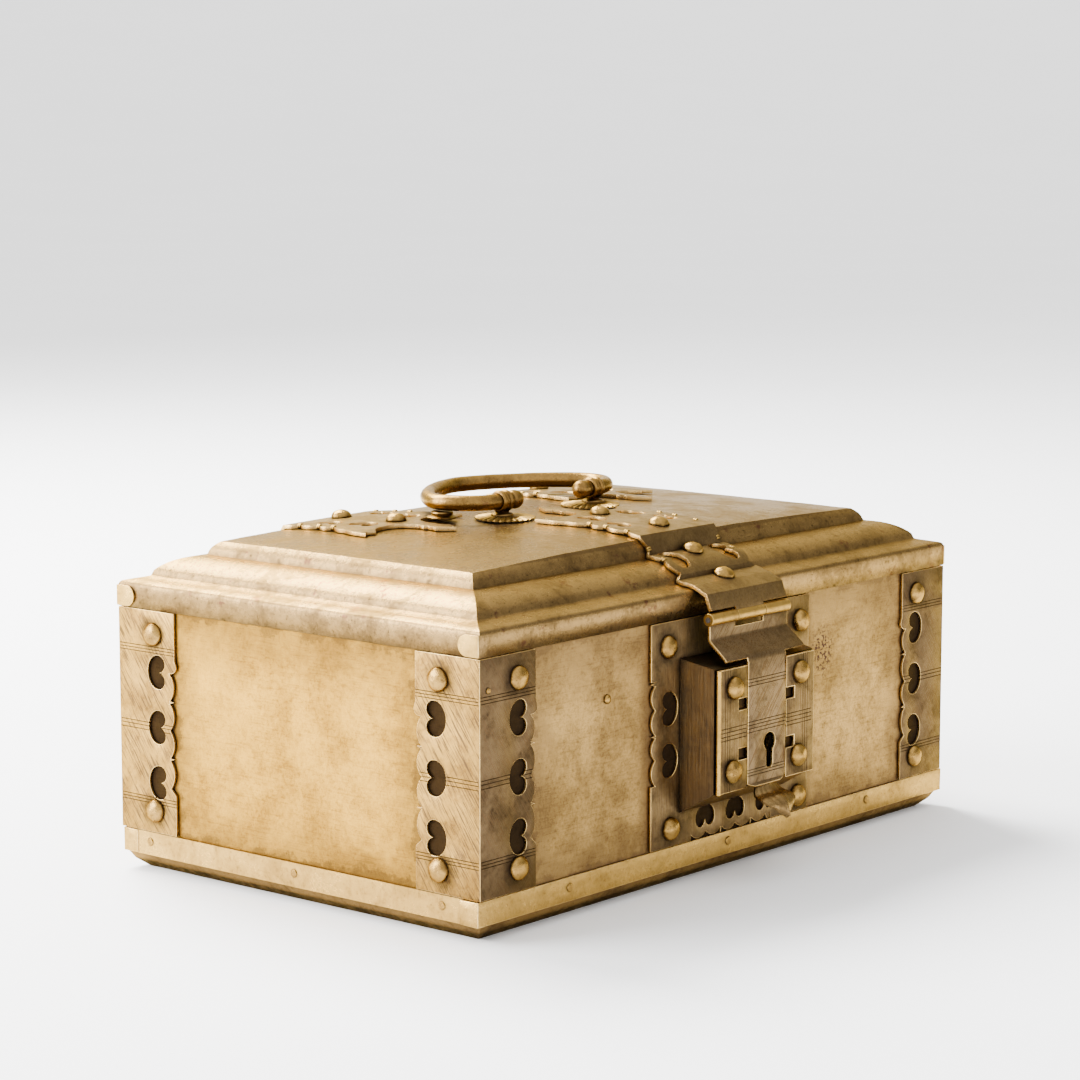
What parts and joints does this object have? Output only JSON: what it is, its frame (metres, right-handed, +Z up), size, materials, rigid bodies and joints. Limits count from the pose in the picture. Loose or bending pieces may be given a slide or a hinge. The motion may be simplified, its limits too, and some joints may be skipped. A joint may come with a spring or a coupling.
{
  "type": "lidded casket",
  "caption": "Oblong strapped brass casket with a moulded hinged lid, a hinged hasp closing over a raised lock case, and a swinging bail handle on top.",
  "frame": {"origin": "centre of the flat underside, on the plane the casket stands on", "axes": "+Z up, +X along the length to the right as seen from the lock, -Y towards the lock and the person opening it"},
  "size_m": [0.3066, 0.2228, 0.1461],
  "materials": {
    "aged_brass": "aged, brushed, patina in the corners",
    "dark_brass": "dark brown patina",
    "polished_brass": "worn bright by handling",
    "iron_works": "dull dark iron"
  },
  "bodies": {
    "casket": {"back_panel": "aged_brass", "base_band_back": "aged_brass", "base_band_front": "aged_brass", "base_band_left": "aged_brass", "base_band_right": "aged_brass", "base_pan": "dark_brass", "bolt_keeper": "iron_works", "bolt_spring": "iron_works", "corner_strap_back_left": "aged_brass", "corner_strap_back_right": "aged_brass", "corner_strap_front_left": "aged_brass", "corner_strap_front_right": "aged_brass", "front_panel": "aged_brass", "key_pin": "iron_works", "left_end_panel": "aged_brass", "lock_case": "aged_brass", "lock_guide_left": "aged_brass", "lock_guide_right": "aged_brass", "lock_plate": "aged_brass", "lock_rivet_1": "polished_brass", "lock_rivet_2": "polished_brass", "lock_rivet_3": "polished_brass", "lock_rivet_4": "polished_brass", "lock_rivet_5": "polished_brass", "lock_rivet_6": "polished_brass", "lock_rivet_7": "polished_brass", "lock_rivet_8": "polished_brass", "rear_leaf_left": "aged_brass", "rear_leaf_right": "aged_brass", "rear_pin_left": "iron_works", "rear_pin_right": "iron_works", "right_end_panel": "aged_brass"},
    "lid": {"front_strap": "aged_brass", "front_strap_rivet_1": "polished_brass", "front_strap_rivet_2": "polished_brass", "front_strap_rivet_3": "polished_brass", "front_strap_rivet_4": "polished_brass", "handle_post_left": "polished_brass", "handle_post_right": "polished_brass", "hasp_pin": "iron_works", "lid_corner_tab_back_left": "aged_brass", "lid_corner_tab_back_right": "aged_brass", "lid_corner_tab_front_left": "aged_brass", "lid_corner_tab_front_right": "aged_brass", "lid_shell": "dark_brass", "rear_strap_left": "aged_brass", "rear_strap_right": "aged_brass", "rest_stud_left": "polished_brass", "rest_stud_right": "polished_brass", "rosette_left": "polished_brass", "rosette_right": "polished_brass"},
    "hasp": {"hasp": "aged_brass", "hasp_staple": "iron_works"},
    "handle": {"bail_handle": "polished_brass"},
    "bolt": {"lock_bolt": "iron_works"}
  },
  "joints": [
    {"name": "lid_hinge", "type": "hinge", "parent": "casket", "child": "lid", "pos_m": [0, 0.0973, 0.1046], "axis": [-1, 0, 0], "range_deg": [0, 105]},
    {"name": "hasp_hinge", "type": "hinge", "parent": "lid", "child": "hasp", "pos_m": [0, -0.1012, 0.1035], "axis": [-1, 0, 0], "range_deg": [0, 150]},
    {"name": "handle_swing", "type": "hinge", "parent": "lid", "child": "handle", "pos_m": [0, 0, 0.1416], "axis": [1, 0, 0], "range_deg": [0, 180]},
    {"name": "lock_bolt_slide", "type": "slide", "parent": "casket", "child": "bolt", "axis": [-1, 0, 0], "range_m": [0, 0.007]}
  ]
}
